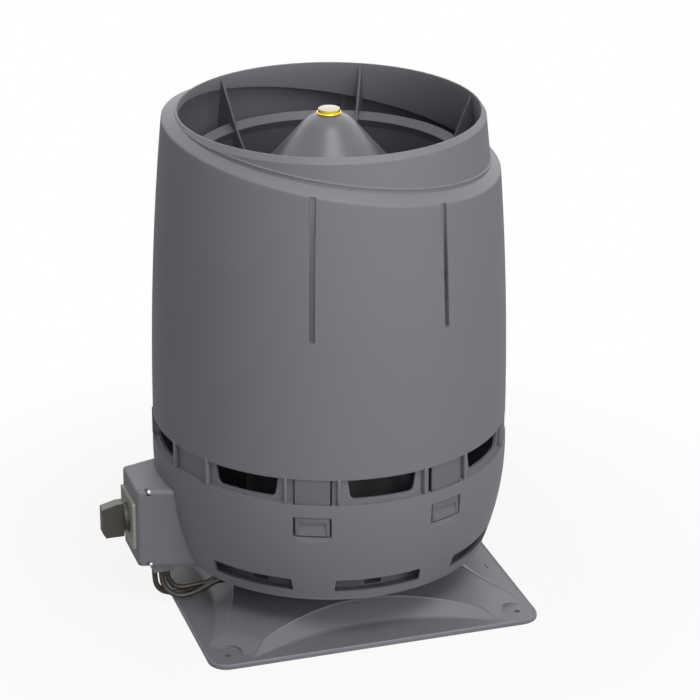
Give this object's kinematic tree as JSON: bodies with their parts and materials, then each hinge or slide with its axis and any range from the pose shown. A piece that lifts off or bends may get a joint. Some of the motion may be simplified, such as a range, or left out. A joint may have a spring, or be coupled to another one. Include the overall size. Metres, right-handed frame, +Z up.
{
  "type": "roof exhaust fan",
  "caption": "Vertical-discharge roof exhaust fan on a square roof plate, with a latched lift-off hood, cone outlet, motor impeller and rotary isolator switch.",
  "frame": {"origin": "centre of the base plate's underside, on the fan's axis", "axes": "+Z up along the fan's axis, -Y front, -X towards the switch box"},
  "size_m": [0.404, 0.346, 0.4867],
  "materials": {
    "shell_plastic": "fine moulded texture",
    "base_plastic": "fine moulded texture",
    "dark_plastic": "satin",
    "black_plastic": "satin",
    "galvanised_sheet": "galvanised",
    "cast_aluminium": "cast",
    "bearing_steel": "ground",
    "zinc_steel": "zinc plated",
    "seal_rubber": "matte",
    "cable_jacket": "satin",
    "bezel_plastic": "satin",
    "knob_plastic": "satin",
    "pale_plastic": "satin",
    "brass": "turned",
    "level_liquid": "clear liquid",
    "level_lens": "polished"
  },
  "bodies": {
    "root": {"base_plate": "base_plastic", "base_seal": "seal_rubber", "inlet_riser": "galvanised_sheet", "lower_body": "shell_plastic", "body_screws": "zinc_steel", "terminal_block": "pale_plastic", "cable_grommet": "seal_rubber", "supply_cable_1": "cable_jacket", "supply_cable_2": "cable_jacket", "motor_cable": "cable_jacket", "connector_socket": "black_plastic", "box_rear": "shell_plastic", "box_cover": "shell_plastic", "switch_bezel": "bezel_plastic", "switch_block": "pale_plastic", "box_screws": "zinc_steel", "gland_block": "dark_plastic"},
    "knob": {"switch_knob": "knob_plastic", "switch_shaft": "zinc_steel"},
    "hood": {"hood_shell": "shell_plastic", "outlet_collar": "shell_plastic", "nozzle_duct": "dark_plastic", "nozzle_floor": "dark_plastic", "floor_screws": "zinc_steel", "duct_seal": "seal_rubber", "inlet_nozzle": "galvanised_sheet", "connector_plug": "black_plastic", "motor_lead": "cable_jacket", "motor_carrier": "galvanised_sheet", "motor_stator": "cast_aluminium", "motor_bearings": "bearing_steel", "motor_screws": "zinc_steel", "cone_cover": "dark_plastic", "level_cup": "brass", "level_fluid": "level_liquid", "level_lens": "level_lens"},
    "rotor": {"impeller": "black_plastic", "impeller_shroud": "black_plastic", "rotor_can": "cast_aluminium", "motor_shaft": "bearing_steel", "impeller_screws": "zinc_steel"},
    "latch_front_right": {"latch_front_right": "shell_plastic"},
    "latch_back_right": {"latch_back_right": "shell_plastic"},
    "latch_back_left": {"latch_back_left": "shell_plastic"},
    "latch_front_left": {"latch_front_left": "shell_plastic"}
  },
  "joints": [
    {"name": "hood_lift", "type": "slide", "parent": "root", "child": "hood", "axis": [0, 0, 1], "range_m": [0, 0.12]},
    {"name": "impeller_spin", "type": "hinge", "parent": "hood", "child": "rotor", "pos_m": [0, 0, 0.34], "axis": [0, 0, 1], "continuous": true},
    {"name": "switch_turn", "type": "hinge", "parent": "root", "child": "knob", "pos_m": [-0.2, 0, 0.09], "axis": [-1, 0, 0], "range_deg": [0, 90]},
    {"name": "latch_front_right_press", "type": "hinge", "parent": "hood", "child": "latch_front_right", "pos_m": [0.06504, -0.15701, 0.181], "axis": [0.9239, 0.3827, 0], "range_deg": [0, 5], "stiffness_Nm_per_rad": 6},
    {"name": "latch_back_right_press", "type": "hinge", "parent": "hood", "child": "latch_back_right", "pos_m": [0.06504, 0.15701, 0.181], "axis": [-0.9239, 0.3827, 0], "range_deg": [0, 5], "stiffness_Nm_per_rad": 6},
    {"name": "latch_back_left_press", "type": "hinge", "parent": "hood", "child": "latch_back_left", "pos_m": [-0.06504, 0.15701, 0.181], "axis": [-0.9239, -0.3827, 0], "range_deg": [0, 5], "stiffness_Nm_per_rad": 6},
    {"name": "latch_front_left_press", "type": "hinge", "parent": "hood", "child": "latch_front_left", "pos_m": [-0.06504, -0.15701, 0.181], "axis": [0.9239, -0.3827, 0], "range_deg": [0, 5], "stiffness_Nm_per_rad": 6}
  ]
}
